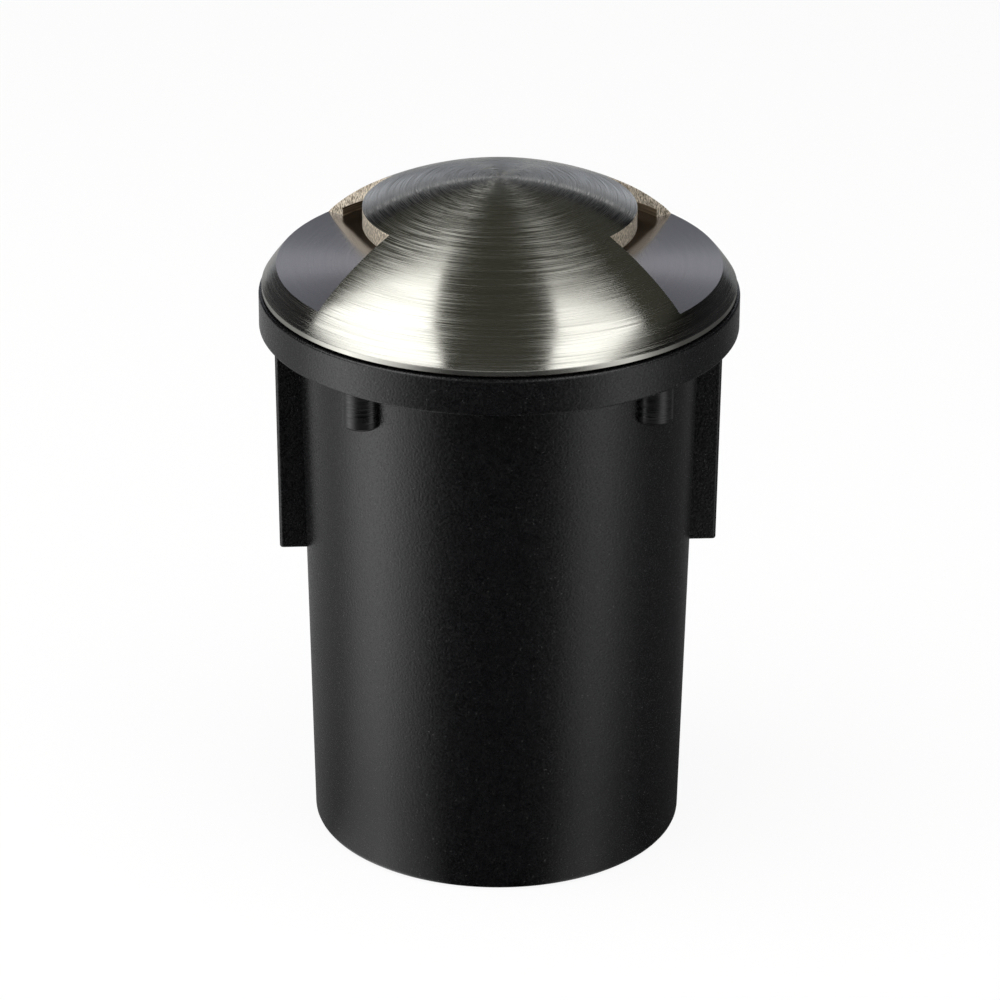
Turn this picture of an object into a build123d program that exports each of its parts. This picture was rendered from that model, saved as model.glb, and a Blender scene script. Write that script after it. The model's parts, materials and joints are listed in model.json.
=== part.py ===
from build123d import *

import os
from math import radians, sqrt, tan

os.makedirs("parts", exist_ok=True)

# All sizes are millimetres. The origin is the middle of the pot's base, +Z is up, and the front is -Y.

# Pot
pot_height = 133.0
pot_base_radius = 43.25
pot_neck_radius = 45.9
pot_wall = 3.4
base_edge_radius = 1.6
flange_radius = 55.0
flange_height = 8.6
flange_edge_radius = 0.6
pot_turn = 3.6

# Floor plate, bonded into the tapered pot above an open skirt
skirt_depth = 26.0
floor_thickness = 3.0
plate_bond_gap = 0.1

# Fins that keep the pot from turning in the soil
fin_length = 55.0
fin_top_reach = 51.6
fin_bottom_reach = 51.0
fin_thickness = 4.0
fin_edge_radius = 0.8

# Screw bosses under the flange
boss_count = 4
boss_circle_radius = 46.2
boss_radius = 4.4
boss_drop = 11.0
boss_chamfer = 0.7
boss_counterbore_depth = 5.0

# Stainless cover
cover_rim_radius = 54.3
cover_edge_height = 1.4
cover_edge_chamfer = 0.3
dome_rise = 26.4
dome_radius = 74.0
shoulder_radius = 48.0
window_floor_rise = 5.9
window_half_angle = 38.0
cap_radius = 31.2
cap_thickness = 5.9
cavity_radius = 46.5
cavity_roof_radius = 92.0
light_opening_radius = 28.0
light_opening_wall = 2.5

# Gasket between flange and cover
gasket_inner_radius = 49.2
gasket_width = 3.0
gasket_thickness = 2.4
gasket_groove_depth = 2.0
gasket_clearance = 0.1

# Cover screws and their seals
cover_screw_radius = 1.5
cover_screw_head_radius = 2.5
cover_screw_head_height = 2.0
cover_screw_grip = 4.0
cover_screw_key = 2.5
screw_seal_radius = 2.7
screw_seal_thickness = 0.8

# Glass, its seal and the ring that holds it
glass_radius = 36.0
glass_thickness = 5.0
glass_clearance = 0.5
lens_seal_thickness = 1.0
lens_seal_margin = 1.0
clamp_ring_bearing = 3.0
clamp_ring_thickness = 2.0
clamp_ring_lug_count = 4
clamp_post_radius = 2.4
clamp_post_clearance = 0.3
clamp_screw_radius = 1.25
clamp_screw_head_radius = 2.2
clamp_screw_head_height = 1.6
clamp_screw_grip = 4.0

# Lamp
lamp_radius = 25.0
lamp_length = 46.5
lamp_rim_height = 5.0
lamp_waist_radius = 17.5
lamp_waist_height = 24.0
lamp_glass_gap = 4.5
lamp_lens_radius = 23.0
lamp_lens_thickness = 3.0
lamp_lens_step = 2.0
lamp_board_thickness = 1.6
lamp_board_recess = 3.0
lamp_base_radius = 12.6
lamp_base_height = 12.0
lamp_rib_count = 16
lamp_rib_gap = 3.0
lamp_rib_depth = 1.5

# Twist-lock pins and lampholder
pin_circle_radius = 5.0
pin_length = 7.0
pin_stem_radius = 1.25
pin_head_radius = 2.5
pin_head_height = 2.6
pin_embedded_length = 5.0
twist_angle = 40.0
pin_play = 0.4
holder_gap = 0.2
holder_width = 19.0
holder_length = 36.0
holder_height = 17.0
holder_corner_radius = 4.0
holder_lip = 3.2
contact_thickness = 0.8
contact_gap = 0.2
holder_screw_spacing = 26.0
holder_screw_radius = 1.5
holder_screw_head_radius = 2.7
holder_screw_head_height = 2.2
holder_screw_sink = 4.0
holder_lead_rise = 5.0
holder_lead_depth = 4.0

# Bracket under the lampholder
bracket_sheet = 1.5
bracket_span = 48.0
bracket_foot = 11.0
bracket_bend_radius = 2.0
bracket_screw_spacing = 59.0
bracket_screw_radius = 1.5
bracket_screw_head_radius = 2.8
bracket_screw_head_height = 2.2
bracket_screw_grip = 7.0
bracket_post_radius = 4.0
bracket_post_height = 6.0

# Connector block
block_width = 17.0
block_length = 32.0
block_height = 15.0
block_pole_count = 3
block_pole_pitch = 10.0
block_notch = 1.2
clamp_width = 5.0
clamp_length = 10.0
clamp_height = 7.0
clamp_base_wall = 4.5
clamp_wire_radius = 1.7
terminal_screw_radius = 1.5
terminal_screw_length = 6.0
block_screw_radius = 1.2
block_screw_head_radius = 2.1
block_screw_head_height = 1.6
block_screw_grip = 7.0
block_screw_sink = 3.0
block_boss_radius = 3.4
block_boss_height = 6.0

# Leads from block to lampholder
lead_radius = 1.1
lead_reach = 7.5
lead_bend_radius = 5.5
lead_insertion = 3.0

# Cable glands in the floor plate
gland_offset = 22.0
gland_thread_radius = 8.0
gland_across_flats = 19.0
gland_collar_height = 5.0
gland_spigot_height = 8.0
gland_top_bore_radius = 4.8
gland_seal_radius = 5.6
gland_cable_radius = 4.0
gland_nut_height = 10.0
gland_nut_wall = 2.8
gland_nut_gap = 1.0
gland_washer_width = 2.0
gland_washer_thickness = 1.5
locknut_height = 4.5
locknut_show = 1.5

# Shared clearances
thread_clearance = 0.05
screw_clearance = 0.2
seat_clearance = 0.1
wire_clearance = 0.2

# Heights that follow from the sizes above
flange_underside = pot_height - flange_height
floor_top = skirt_depth + floor_thickness
boss_bottom = flange_underside - boss_drop
screw_seat = boss_bottom + boss_counterbore_depth
groove_floor = pot_height - gasket_groove_depth
cover_underside = groove_floor + gasket_thickness
window_floor = cover_underside + window_floor_rise
dome_apex = cover_underside + dome_rise
dome_centre = dome_apex - dome_radius
shoulder_height = dome_centre + sqrt(dome_radius**2 - shoulder_radius**2)
roof_apex = dome_apex - cap_thickness
roof_centre = roof_apex - cavity_roof_radius
roof_edge = roof_centre + sqrt(cavity_roof_radius**2 - cavity_radius**2)
seal_seat = window_floor - light_opening_wall
glass_top = seal_seat - lens_seal_thickness
glass_bottom = glass_top - glass_thickness
clamp_ring_bottom = glass_bottom - clamp_ring_thickness
lamp_front = glass_bottom - lamp_glass_gap
lamp_bottom = lamp_front - lamp_length
holder_top = lamp_bottom - holder_gap
holder_bottom = holder_top - holder_height
bracket_top = holder_bottom
post_top = floor_top + bracket_post_height
gland_collar_top = skirt_depth - gland_washer_thickness
gland_collar_bottom = gland_collar_top - gland_collar_height

# Radii and places that follow
recess_radius = glass_radius + glass_clearance
clamp_post_circle = recess_radius + clamp_post_clearance + clamp_post_radius
clamp_ring_radius = clamp_post_circle + clamp_post_radius
screw_counterbore_radius = screw_seal_radius + screw_clearance
gland_sites = ((-gland_offset, 0), (gland_offset, 0))
pot_plane = Plane.XY.rotated((0, 0, pot_turn))
boss_start = 180 / boss_count


def pot_radius(height):
    """Outer radius of the tapered pot at a height below the flange."""
    return pot_base_radius + (pot_neck_radius - pot_base_radius) * height / flange_underside


def save(piece, name):
    """Label a finished piece and write it to its own file."""
    piece.part.label = name
    export_step(piece.part, f"parts/{name}.step")


# Moulded pot
fin_bottom = flange_underside - fin_length
fin_root = pot_radius(fin_bottom) - pot_wall / 2

with BuildPart() as body_pot:
    for fin_side in (-1, 1):
        for fin_height, fin_reach in ((fin_bottom, fin_bottom_reach), (flange_underside, fin_top_reach)):
            with BuildSketch(pot_plane.offset(fin_height)):
                with Locations((fin_side * (fin_root + fin_reach) / 2, 0)):
                    RectangleRounded(fin_reach - fin_root, fin_thickness, fin_edge_radius)
        loft()
    fillet(body_pot.edges().group_by(Axis.Z)[0], fin_edge_radius / 2)
    with BuildSketch(Plane.XZ) as pot_profile:
        with BuildLine():
            Polyline(
                (0, 0),
                (pot_base_radius, 0),
                (pot_neck_radius, flange_underside),
                (flange_radius, flange_underside),
                (flange_radius, pot_height),
                (0, pot_height),
                close=True,
            )
        make_face()
        fillet(pot_profile.vertices().group_by(Axis.X)[-1], flange_edge_radius)
        fillet(pot_profile.vertices().group_by(Axis.Y)[0].sort_by(Axis.X)[-1], base_edge_radius)
    revolve(axis=Axis.Z)
    for boss_length, boss_taper in ((boss_drop - boss_chamfer, 0), (-boss_chamfer, 45)):
        with BuildSketch(pot_plane.offset(boss_bottom + boss_chamfer)):
            with PolarLocations(boss_circle_radius, boss_count, start_angle=boss_start):
                Circle(boss_radius)
        extrude(amount=boss_length, taper=boss_taper)
    with BuildSketch(Plane.XZ):
        with BuildLine():
            Polyline(
                (0, 0),
                (pot_base_radius - pot_wall, 0),
                (pot_neck_radius - pot_wall, flange_underside),
                (pot_neck_radius - pot_wall, pot_height),
                (0, pot_height),
                close=True,
            )
        make_face()
    revolve(axis=Axis.Z, mode=Mode.SUBTRACT)
    with BuildSketch(Plane.XY.offset(groove_floor)):
        Circle(gasket_inner_radius + gasket_width + gasket_clearance)
        Circle(gasket_inner_radius - gasket_clearance, mode=Mode.SUBTRACT)
    extrude(amount=gasket_groove_depth, mode=Mode.SUBTRACT)
    with BuildSketch(pot_plane.offset(boss_bottom)):
        with PolarLocations(boss_circle_radius, boss_count, start_angle=boss_start):
            Circle(screw_counterbore_radius)
    extrude(amount=boss_counterbore_depth, mode=Mode.SUBTRACT)
    with BuildSketch(pot_plane.offset(screw_seat)):
        with PolarLocations(boss_circle_radius, boss_count, start_angle=boss_start):
            Circle(cover_screw_radius + screw_clearance)
    extrude(amount=pot_height - screw_seat, mode=Mode.SUBTRACT)
save(body_pot, "body_pot")

# Floor plate with the bracket's posts, the block's bosses and the gland holes
plate_inset = pot_wall + plate_bond_gap

with BuildPart() as gland_plate:
    with BuildSketch(Plane.XZ):
        with BuildLine():
            Polyline(
                (0, skirt_depth),
                (pot_radius(skirt_depth) - plate_inset, skirt_depth),
                (pot_radius(floor_top) - plate_inset, floor_top),
                (0, floor_top),
                close=True,
            )
        make_face()
    revolve(axis=Axis.Z)
    with BuildSketch(Plane.XY.offset(floor_top)):
        with GridLocations(0, bracket_screw_spacing, 1, 2):
            Circle(bracket_post_radius)
    extrude(amount=bracket_post_height)
    with BuildSketch(Plane.XY.offset(skirt_depth)):
        with GridLocations(0, block_pole_pitch, 1, block_pole_count - 1):
            Circle(block_boss_radius)
    extrude(amount=-block_boss_height)
    with BuildSketch(Plane.XY.offset(post_top)):
        with GridLocations(0, bracket_screw_spacing, 1, 2):
            Circle(bracket_screw_radius + thread_clearance)
    extrude(amount=-bracket_screw_grip, mode=Mode.SUBTRACT)
    with BuildSketch(Plane.XY.offset(floor_top)):
        with GridLocations(0, block_pole_pitch, 1, block_pole_count - 1):
            Circle(block_screw_radius + thread_clearance)
    extrude(amount=-block_screw_grip, mode=Mode.SUBTRACT)
    with BuildSketch(Plane.XY.offset(skirt_depth)):
        with Locations(*gland_sites):
            Circle(gland_thread_radius + seat_clearance)
    extrude(amount=floor_thickness, mode=Mode.SUBTRACT)
save(gland_plate, "gland_plate")

# Hollow stainless dome with its two windows
window_reach = flange_radius
window_spread = window_reach * tan(radians(window_half_angle))

with BuildPart() as dome_cover:
    with BuildSketch(Plane.XZ):
        with BuildLine():
            dome_line = RadiusArc((0, dome_apex), (shoulder_radius, shoulder_height), dome_radius)
            rim_top = (cover_rim_radius, cover_underside + cover_edge_height)
            TangentArc(dome_line @ 1, rim_top, tangent=dome_line % 1)
            Polyline(
                rim_top,
                (cover_rim_radius, cover_underside + cover_edge_chamfer),
                (cover_rim_radius - cover_edge_chamfer, cover_underside),
                (recess_radius, cover_underside),
                (recess_radius, seal_seat),
                (light_opening_radius, seal_seat),
                (light_opening_radius, window_floor),
                (cavity_radius, window_floor),
                (cavity_radius, roof_edge),
            )
            RadiusArc((0, roof_apex), (cavity_radius, roof_edge), cavity_roof_radius)
            Line((0, roof_apex), (0, dome_apex))
        make_face()
    revolve(axis=Axis.Z)
    with BuildSketch(Plane.XY.offset(window_floor)):
        for window_side in (-1, 1):
            with BuildLine():
                Polyline(
                    (0, 0),
                    (window_side * window_reach, window_spread),
                    (window_side * window_reach, -window_spread),
                    close=True,
                )
            make_face()
        Circle(cap_radius, mode=Mode.SUBTRACT)
    extrude(amount=dome_rise, mode=Mode.SUBTRACT)
    with BuildSketch(Plane.XY.offset(glass_bottom)):
        with PolarLocations(clamp_post_circle, clamp_ring_lug_count):
            Circle(clamp_post_radius)
    extrude(amount=cover_underside - glass_bottom)
    with BuildSketch(Plane.XY.offset(glass_bottom)):
        with PolarLocations(clamp_post_circle, clamp_ring_lug_count):
            Circle(clamp_screw_radius + thread_clearance)
    extrude(amount=clamp_screw_grip + thread_clearance, mode=Mode.SUBTRACT)
    with BuildSketch(pot_plane.offset(cover_underside)):
        with PolarLocations(boss_circle_radius, boss_count, start_angle=boss_start):
            Circle(cover_screw_radius + thread_clearance)
    extrude(amount=cover_screw_grip + screw_clearance, mode=Mode.SUBTRACT)
save(dome_cover, "dome_cover")

# Gasket in the flange groove
with BuildPart() as cover_gasket:
    with BuildSketch(Plane.XY.offset(groove_floor)):
        Circle(gasket_inner_radius + gasket_width)
        Circle(gasket_inner_radius, mode=Mode.SUBTRACT)
    extrude(amount=gasket_thickness)
save(cover_gasket, "cover_gasket")

# Cover screws, driven up through the bosses
screw_head_top = screw_seat - screw_seal_thickness

with BuildPart() as cover_screws:
    with BuildSketch(pot_plane.offset(screw_head_top)):
        with PolarLocations(boss_circle_radius, boss_count, start_angle=boss_start):
            Circle(cover_screw_head_radius)
    extrude(amount=-cover_screw_head_height)
    with BuildSketch(pot_plane.offset(screw_head_top)):
        with PolarLocations(boss_circle_radius, boss_count, start_angle=boss_start):
            Circle(cover_screw_radius)
    extrude(amount=cover_underside + cover_screw_grip - screw_head_top)
    with BuildSketch(pot_plane.offset(screw_head_top - cover_screw_head_height)):
        with PolarLocations(boss_circle_radius, boss_count, start_angle=boss_start):
            RegularPolygon(cover_screw_key / 2, 6, major_radius=False)
    extrude(amount=cover_screw_head_height / 2, mode=Mode.SUBTRACT)
save(cover_screws, "cover_screws")

with BuildPart() as screw_seals:
    with BuildSketch(pot_plane.offset(screw_head_top)):
        with PolarLocations(boss_circle_radius, boss_count, start_angle=boss_start):
            Circle(screw_seal_radius)
            Circle(cover_screw_radius + thread_clearance, mode=Mode.SUBTRACT)
    extrude(amount=screw_seal_thickness)
save(screw_seals, "screw_seals")

# Glass with its seal and clamp ring
with BuildPart() as lens_seal:
    with BuildSketch(Plane.XY.offset(glass_top)):
        Circle(glass_radius)
        Circle(light_opening_radius + lens_seal_margin, mode=Mode.SUBTRACT)
    extrude(amount=lens_seal_thickness)
save(lens_seal, "lens_seal")

with BuildPart() as lens_glass:
    with BuildSketch(Plane.XY.offset(glass_bottom)):
        Circle(glass_radius)
    extrude(amount=glass_thickness)
    chamfer(lens_glass.edges(), glass_clearance)
save(lens_glass, "lens_glass")

with BuildPart() as lens_clamp_ring:
    with BuildSketch(Plane.XY.offset(clamp_ring_bottom)):
        Circle(clamp_ring_radius)
        Circle(glass_radius - clamp_ring_bearing, mode=Mode.SUBTRACT)
        with PolarLocations(clamp_post_circle, clamp_ring_lug_count):
            Circle(clamp_screw_radius + screw_clearance, mode=Mode.SUBTRACT)
    extrude(amount=clamp_ring_thickness)
save(lens_clamp_ring, "lens_clamp_ring")

with BuildPart() as clamp_ring_screws:
    with BuildSketch(Plane.XY.offset(clamp_ring_bottom)):
        with PolarLocations(clamp_post_circle, clamp_ring_lug_count):
            Circle(clamp_screw_head_radius)
    extrude(amount=-clamp_screw_head_height)
    with BuildSketch(Plane.XY.offset(clamp_ring_bottom)):
        with PolarLocations(clamp_post_circle, clamp_ring_lug_count):
            Circle(clamp_screw_radius)
    extrude(amount=clamp_ring_thickness + clamp_screw_grip)
save(clamp_ring_screws, "clamp_ring_screws")

# Reflector-size lamp with a twist-lock base
lamp_body_bottom = lamp_bottom + lamp_base_height
lens_seat = lamp_front - lamp_lens_thickness
board_seat = lens_seat - lamp_board_recess
board_radius = lamp_lens_radius - lamp_lens_step

with BuildPart() as lamp_body:
    with BuildSketch(Plane.XZ):
        with BuildLine():
            Polyline(
                (0, lamp_body_bottom),
                (lamp_base_radius, lamp_body_bottom),
                (lamp_waist_radius, lamp_bottom + lamp_waist_height),
                (lamp_radius, lamp_front - lamp_rim_height),
                (lamp_radius, lamp_front),
                (lamp_lens_radius, lamp_front),
                (lamp_lens_radius, lens_seat),
                (board_radius, lens_seat),
                (board_radius, board_seat),
                (0, board_seat),
                close=True,
            )
        make_face()
    revolve(axis=Axis.Z)
    with BuildSketch(Plane.XY.offset(lamp_body_bottom)):
        with PolarLocations(lamp_radius, lamp_rib_count):
            Rectangle(2 * (lamp_radius - lamp_waist_radius + lamp_rib_depth), lamp_rib_gap)
    extrude(amount=lamp_front - lamp_rim_height - lamp_body_bottom, mode=Mode.SUBTRACT)
save(lamp_body, "lamp_body")

with BuildPart() as lamp_base:
    with BuildSketch(Plane.XY.offset(lamp_bottom)):
        Circle(lamp_base_radius)
    extrude(amount=lamp_base_height)
    with BuildSketch(Plane.XY.offset(lamp_bottom)):
        with PolarLocations(pin_circle_radius, 2):
            Circle(pin_stem_radius + thread_clearance)
    extrude(amount=pin_embedded_length, mode=Mode.SUBTRACT)
    chamfer(lamp_base.faces().sort_by(Axis.Z)[0].outer_wire().edges(), pin_stem_radius)
save(lamp_base, "lamp_base")

with BuildPart() as lamp_pins:
    with BuildSketch(Plane.XY.offset(lamp_bottom - pin_length)):
        with PolarLocations(pin_circle_radius, 2):
            Circle(pin_stem_radius)
    extrude(amount=pin_length + pin_embedded_length)
    with BuildSketch(Plane.XY.offset(lamp_bottom - pin_length)):
        with PolarLocations(pin_circle_radius, 2):
            Circle(pin_head_radius)
    extrude(amount=pin_head_height)
save(lamp_pins, "lamp_pins")

with BuildPart() as lamp_board:
    with BuildSketch(Plane.XY.offset(board_seat)):
        Circle(board_radius - seat_clearance)
    extrude(amount=lamp_board_thickness)
save(lamp_board, "lamp_board")

with BuildPart() as lamp_lens:
    with BuildSketch(Plane.XY.offset(lens_seat)):
        Circle(lamp_lens_radius - seat_clearance)
    extrude(amount=lamp_lens_thickness)
save(lamp_lens, "lamp_lens")

# Ceramic lampholder: the pins drop in at one end of each curved slot and lock at the other
channel_floor = lamp_bottom - pin_length - contact_gap - contact_thickness
slot_paths = [CenterArc((0, 0), pin_circle_radius, start, twist_angle) for start in (0, 180)]
stem_slot_width = 2 * (pin_stem_radius + pin_play)
head_slot_width = 2 * (pin_head_radius + pin_play)
holder_lead_height = holder_bottom + holder_lead_rise

with BuildPart() as lampholder_body:
    with BuildSketch(Plane.XY.offset(holder_bottom)):
        RectangleRounded(holder_width, holder_length, holder_corner_radius)
    extrude(amount=holder_height)
    with BuildSketch(Plane.XY.offset(channel_floor)):
        for slot_path in slot_paths:
            SlotArc(slot_path, head_slot_width)
    extrude(amount=holder_top - holder_lip - channel_floor, mode=Mode.SUBTRACT)
    with BuildSketch(Plane.XY.offset(holder_top)):
        for slot_path in slot_paths:
            SlotArc(slot_path, stem_slot_width)
        with PolarLocations(pin_circle_radius, 2, start_angle=twist_angle):
            Circle(head_slot_width / 2)
    extrude(amount=-holder_lip, mode=Mode.SUBTRACT)
    with BuildSketch(Plane.XY.offset(holder_top)):
        with GridLocations(0, holder_screw_spacing, 1, 2):
            Circle(holder_screw_head_radius + screw_clearance)
    extrude(amount=-holder_screw_sink, mode=Mode.SUBTRACT)
    with BuildSketch(Plane.XY.offset(holder_bottom)):
        with GridLocations(0, holder_screw_spacing, 1, 2):
            Circle(holder_screw_radius + screw_clearance)
    extrude(amount=holder_height, mode=Mode.SUBTRACT)
    for lead_side in (-1, 1):
        with BuildSketch(Plane.YZ.offset(lead_side * holder_width / 2)):
            with Locations((-lead_side * block_pole_pitch, holder_lead_height)):
                Circle(lead_radius + wire_clearance)
        extrude(amount=-lead_side * holder_lead_depth, mode=Mode.SUBTRACT)
save(lampholder_body, "lampholder_body")

with BuildPart() as lampholder_contacts:
    with BuildSketch(Plane.XY.offset(channel_floor)):
        for slot_path in slot_paths:
            SlotArc(slot_path, head_slot_width - 2 * pin_play)
    extrude(amount=contact_thickness)
save(lampholder_contacts, "lampholder_contacts")

holder_screw_seat = holder_top - holder_screw_sink

with BuildPart() as lampholder_screws:
    with BuildSketch(Plane.XY.offset(holder_screw_seat)):
        with GridLocations(0, holder_screw_spacing, 1, 2):
            Circle(holder_screw_head_radius)
    extrude(amount=holder_screw_head_height)
    with BuildSketch(Plane.XY.offset(bracket_top - bracket_sheet)):
        with GridLocations(0, holder_screw_spacing, 1, 2):
            Circle(holder_screw_radius)
    extrude(amount=holder_screw_seat - bracket_top + bracket_sheet)
save(lampholder_screws, "lampholder_screws")

# Folded strip that lifts the lampholder above the connector block
half_span = bracket_span / 2

with BuildPart() as lampholder_bracket:
    with BuildSketch(Plane.YZ) as bracket_profile:
        with BuildLine():
            Polyline(
                (0, bracket_top),
                (half_span, bracket_top),
                (half_span, post_top + bracket_sheet),
                (half_span + bracket_foot, post_top + bracket_sheet),
                (half_span + bracket_foot, post_top),
                (half_span - bracket_sheet, post_top),
                (half_span - bracket_sheet, bracket_top - bracket_sheet),
                (0, bracket_top - bracket_sheet),
            )
            mirror(about=Plane.YZ)
        make_face()
        fillet(bracket_profile.vertices().group_by(Axis.Y)[-1], bracket_bend_radius)
    extrude(amount=holder_width / 2, both=True)
    with BuildSketch(Plane.XY.offset(bracket_top)):
        with GridLocations(0, holder_screw_spacing, 1, 2):
            Circle(holder_screw_radius + thread_clearance)
    extrude(amount=-bracket_sheet, mode=Mode.SUBTRACT)
    with BuildSketch(Plane.XY.offset(post_top)):
        with GridLocations(0, bracket_screw_spacing, 1, 2):
            Circle(bracket_screw_radius + screw_clearance)
    extrude(amount=bracket_sheet, mode=Mode.SUBTRACT)
save(lampholder_bracket, "lampholder_bracket")

with BuildPart() as bracket_screws:
    with BuildSketch(Plane.XY.offset(post_top + bracket_sheet)):
        with GridLocations(0, bracket_screw_spacing, 1, 2):
            Circle(bracket_screw_head_radius)
    extrude(amount=bracket_screw_head_height)
    with BuildSketch(Plane.XY.offset(post_top + bracket_sheet)):
        with GridLocations(0, bracket_screw_spacing, 1, 2):
            Circle(bracket_screw_radius)
    extrude(amount=-(bracket_sheet + bracket_screw_grip - screw_clearance))
save(bracket_screws, "bracket_screws")

# Connector block on the floor plate
clamp_bottom = floor_top + clamp_base_wall
wire_height = clamp_bottom + clamp_height / 2
clamp_top = clamp_bottom + clamp_height
block_top = floor_top + block_height
block_screw_seat = block_top - block_screw_sink

with BuildPart() as terminal_block:
    with BuildSketch(Plane.XY.offset(floor_top)):
        Rectangle(block_width, block_length)
        with GridLocations(block_width, block_pole_pitch, 2, block_pole_count - 1):
            Circle(block_notch, mode=Mode.SUBTRACT)
    extrude(amount=block_height)
    with BuildSketch(Plane.XY.offset(clamp_bottom)):
        with GridLocations(0, block_pole_pitch, 1, block_pole_count):
            Rectangle(clamp_length + 2 * seat_clearance, clamp_width + 2 * seat_clearance)
    extrude(amount=block_top - clamp_bottom, mode=Mode.SUBTRACT)
    with BuildSketch(Plane.YZ):
        with Locations((0, wire_height)):
            with GridLocations(block_pole_pitch, 0, block_pole_count, 1):
                Circle(clamp_wire_radius)
    extrude(amount=block_width, both=True, mode=Mode.SUBTRACT)
    with BuildSketch(Plane.XY.offset(floor_top)):
        with GridLocations(0, block_pole_pitch, 1, block_pole_count - 1):
            Circle(block_screw_radius + screw_clearance)
    extrude(amount=block_height, mode=Mode.SUBTRACT)
    with BuildSketch(Plane.XY.offset(block_top)):
        with GridLocations(0, block_pole_pitch, 1, block_pole_count - 1):
            Circle(block_screw_head_radius + seat_clearance)
    extrude(amount=-block_screw_sink, mode=Mode.SUBTRACT)
save(terminal_block, "terminal_block")

with BuildPart() as terminal_clamps:
    with BuildSketch(Plane.XY.offset(clamp_bottom)):
        with GridLocations(0, block_pole_pitch, 1, block_pole_count):
            Rectangle(clamp_length, clamp_width)
    extrude(amount=clamp_height)
    with BuildSketch(Plane.YZ):
        with Locations((0, wire_height)):
            with GridLocations(block_pole_pitch, 0, block_pole_count, 1):
                Circle(clamp_wire_radius)
    extrude(amount=block_width, both=True, mode=Mode.SUBTRACT)
    with BuildSketch(Plane.XY.offset(wire_height)):
        with GridLocations(0, block_pole_pitch, 1, block_pole_count):
            Circle(terminal_screw_radius + thread_clearance)
    extrude(amount=clamp_height, mode=Mode.SUBTRACT)
save(terminal_clamps, "terminal_clamps")

with BuildPart() as terminal_screws:
    with BuildSketch(Plane.XY.offset(wire_height + clamp_wire_radius)):
        with GridLocations(0, block_pole_pitch, 1, block_pole_count):
            Circle(terminal_screw_radius)
    extrude(amount=terminal_screw_length)
save(terminal_screws, "terminal_screws")

with BuildPart() as terminal_fixing_screws:
    with BuildSketch(Plane.XY.offset(block_screw_seat)):
        with GridLocations(0, block_pole_pitch, 1, block_pole_count - 1):
            Circle(block_screw_head_radius)
    extrude(amount=block_screw_head_height)
    with BuildSketch(Plane.XY.offset(block_screw_seat)):
        with GridLocations(0, block_pole_pitch, 1, block_pole_count - 1):
            Circle(block_screw_radius)
    extrude(amount=-(block_screw_seat - floor_top + block_screw_grip - screw_clearance))
save(terminal_fixing_screws, "terminal_fixing_screws")

# Leads: out of the lampholder's side, down, and back into the block
for lead_name, lead_side in (("live_lead", 1), ("neutral_lead", -1)):
    lead_y = -lead_side * block_pole_pitch
    holder_end = lead_side * (holder_width / 2 - holder_lead_depth)
    outer_x = lead_side * (holder_width / 2 + lead_reach)
    block_end = lead_side * (clamp_length / 2 - lead_insertion)
    with BuildPart() as lead:
        with BuildLine() as lead_route:
            FilletPolyline(
                (holder_end, lead_y, holder_lead_height),
                (outer_x, lead_y, holder_lead_height),
                (outer_x, lead_y, wire_height),
                (block_end, lead_y, wire_height),
                radius=lead_bend_radius,
            )
        with BuildSketch(Plane(origin=lead_route.line @ 0, z_dir=lead_route.line % 0)):
            Circle(lead_radius)
        sweep()
    save(lead, lead_name)

# Cable glands through the floor plate
spigot_bottom = gland_collar_bottom - gland_spigot_height
thread_top = floor_top + locknut_height + locknut_show
nut_top = gland_collar_bottom - gland_nut_gap
nut_bottom = nut_top - gland_nut_height

with BuildPart() as gland_bodies:
    with BuildSketch(Plane.XY.offset(spigot_bottom)):
        with Locations(*gland_sites):
            Circle(gland_thread_radius)
    extrude(amount=thread_top - spigot_bottom)
    with BuildSketch(Plane.XY.offset(gland_collar_bottom)):
        with Locations(*gland_sites):
            RegularPolygon(gland_across_flats / 2, 6, major_radius=False)
    extrude(amount=gland_collar_height)
    with BuildSketch(Plane.XY.offset(spigot_bottom)):
        with Locations(*gland_sites):
            Circle(gland_seal_radius + seat_clearance)
    extrude(amount=gland_spigot_height, mode=Mode.SUBTRACT)
    with BuildSketch(Plane.XY.offset(gland_collar_bottom)):
        with Locations(*gland_sites):
            Circle(gland_top_bore_radius)
    extrude(amount=thread_top - gland_collar_bottom, mode=Mode.SUBTRACT)
save(gland_bodies, "gland_bodies")

with BuildPart() as gland_washers:
    with BuildSketch(Plane.XY.offset(gland_collar_top)):
        with Locations(*gland_sites):
            Circle(gland_thread_radius + gland_washer_width)
            Circle(gland_thread_radius + seat_clearance, mode=Mode.SUBTRACT)
    extrude(amount=gland_washer_thickness)
save(gland_washers, "gland_washers")

with BuildPart() as gland_locknuts:
    with BuildSketch(Plane.XY.offset(floor_top)):
        with Locations(*gland_sites):
            RegularPolygon(gland_across_flats / 2, 6, major_radius=False)
            Circle(gland_thread_radius + thread_clearance, mode=Mode.SUBTRACT)
    extrude(amount=locknut_height)
save(gland_locknuts, "gland_locknuts")

with BuildPart() as gland_seals:
    with BuildSketch(Plane.XY.offset(spigot_bottom)):
        with Locations(*gland_sites):
            Circle(gland_seal_radius)
            Circle(gland_cable_radius, mode=Mode.SUBTRACT)
    extrude(amount=gland_spigot_height)
save(gland_seals, "gland_seals")

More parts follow.
